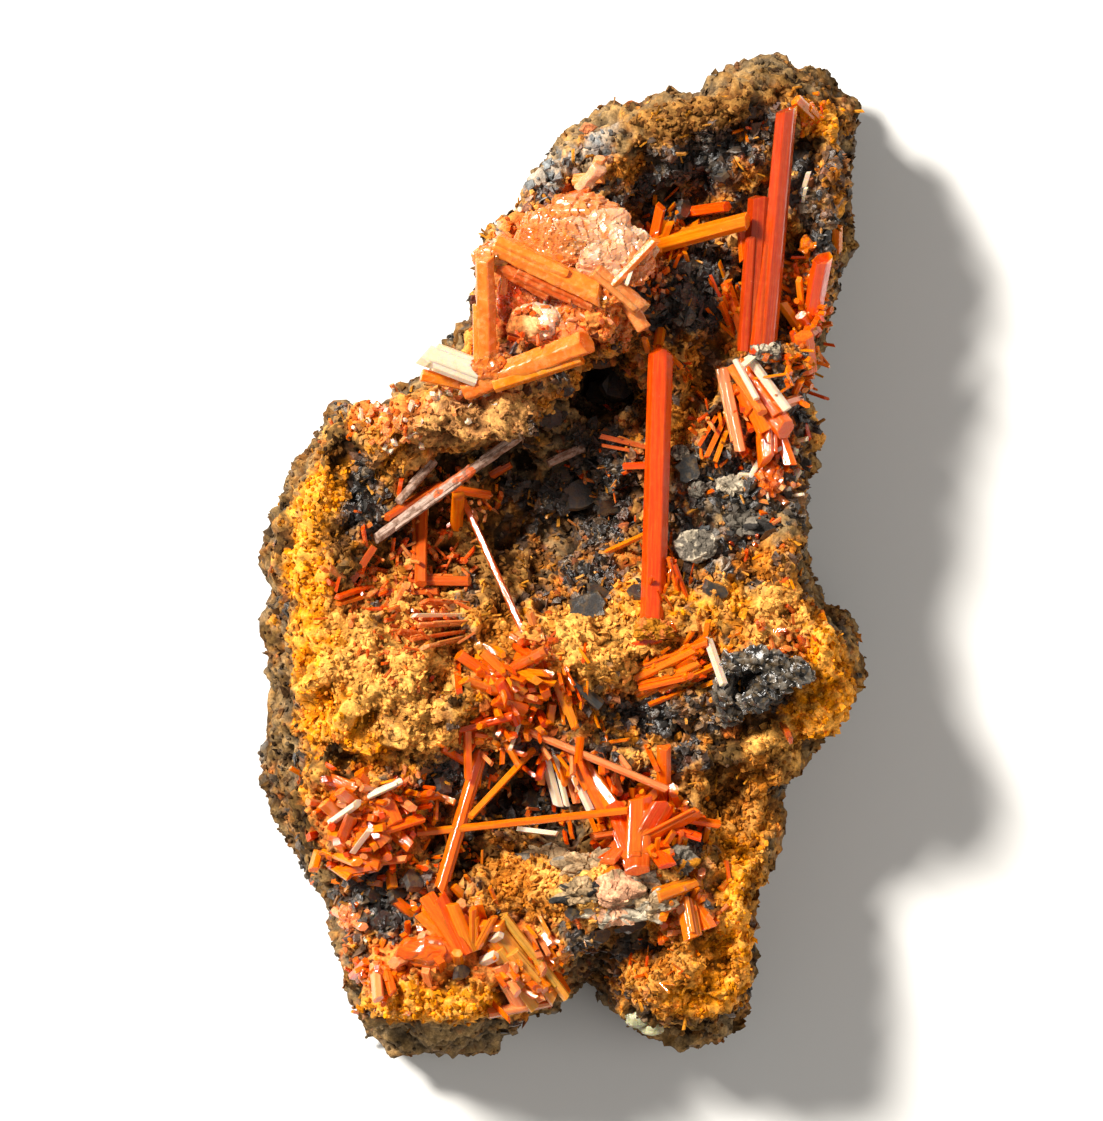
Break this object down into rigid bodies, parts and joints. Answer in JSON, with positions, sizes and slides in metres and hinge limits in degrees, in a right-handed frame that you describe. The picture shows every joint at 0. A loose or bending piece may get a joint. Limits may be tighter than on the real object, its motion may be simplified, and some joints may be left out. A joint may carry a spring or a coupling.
{
  "type": "crocoite specimen",
  "caption": "Mineral hand specimen: slender orange-red crocoite prisms on spongy, ochre and black iron-oxide matrix, lying on its flat back.",
  "frame": {"origin": "middle of the specimen's bounds at its flat back, which it lies on", "axes": "+Y along the specimen's length, towards the tall tower; +Z out of the crystal covered face, away from the surface it rests on; +X to the side of the right lobe"},
  "size_m": [0.0606, 0.1013, 0.0331],
  "materials": {
    "gossan": "matte",
    "crocoite": "gloss",
    "stained_crocoite": "satin",
    "coated_crystal": "matte",
    "oxide_crystal": "satin",
    "pale_chip": "satin"
  },
  "bodies": {
    "root": {"limonite_matrix": "gossan", "tower_tall_prism": "crocoite", "tower_side_prisms": "crocoite", "tower_tip_chip": "crocoite", "tower_cross_prism": "crocoite", "tower_back_plate": "crocoite", "tower_rim_prisms": "crocoite", "tower_rim_bead": "crocoite", "tower_rim_plate": "crocoite", "tower_rim_chip": "crocoite", "tower_white_needle": "crocoite", "centre_prism": "crocoite", "stained_cluster": "stained_crocoite", "stained_diagonal": "stained_crocoite", "stained_beads": "stained_crocoite", "upper_rim_lump": "stained_crocoite", "coated_crystal_long": "coated_crystal", "coated_crystal_short": "coated_crystal", "pocket_prisms": "crocoite", "pocket_flat_prism": "crocoite", "pocket_short_prism": "crocoite", "long_needle": "crocoite", "vug_rods": "crocoite", "vug_grey_crystal": "coated_crystal", "bank_sheaf": "stained_crocoite", "bank_bundle": "crocoite", "bank_needle": "crocoite", "right_sheaf": "crocoite", "right_white_needle": "crocoite", "right_fan": "crocoite", "right_fan_side": "crocoite", "right_fan_lump": "stained_crocoite", "pale_needle": "crocoite", "hollow_stub": "crocoite", "long_hollow_prism": "crocoite", "hollow_crossing_needle": "crocoite", "hollow_upper_blade": "crocoite", "hollow_side_prism": "crocoite", "lower_hollow_crust": "crocoite", "hollow_red_plate": "crocoite", "lower_left_druse": "crocoite", "druse_upper_prism": "crocoite", "lower_left_prism": "crocoite", "left_wall_crystal": "stained_crocoite", "foot_blocks": "crocoite", "foot_fan": "crocoite", "foot_left_druse": "crocoite", "ridge_lens": "crocoite", "ridge_cluster": "crocoite", "bank_grey_prism": "oxide_crystal", "foot_pale_chip": "pale_chip"}
  },
  "joints": []
}
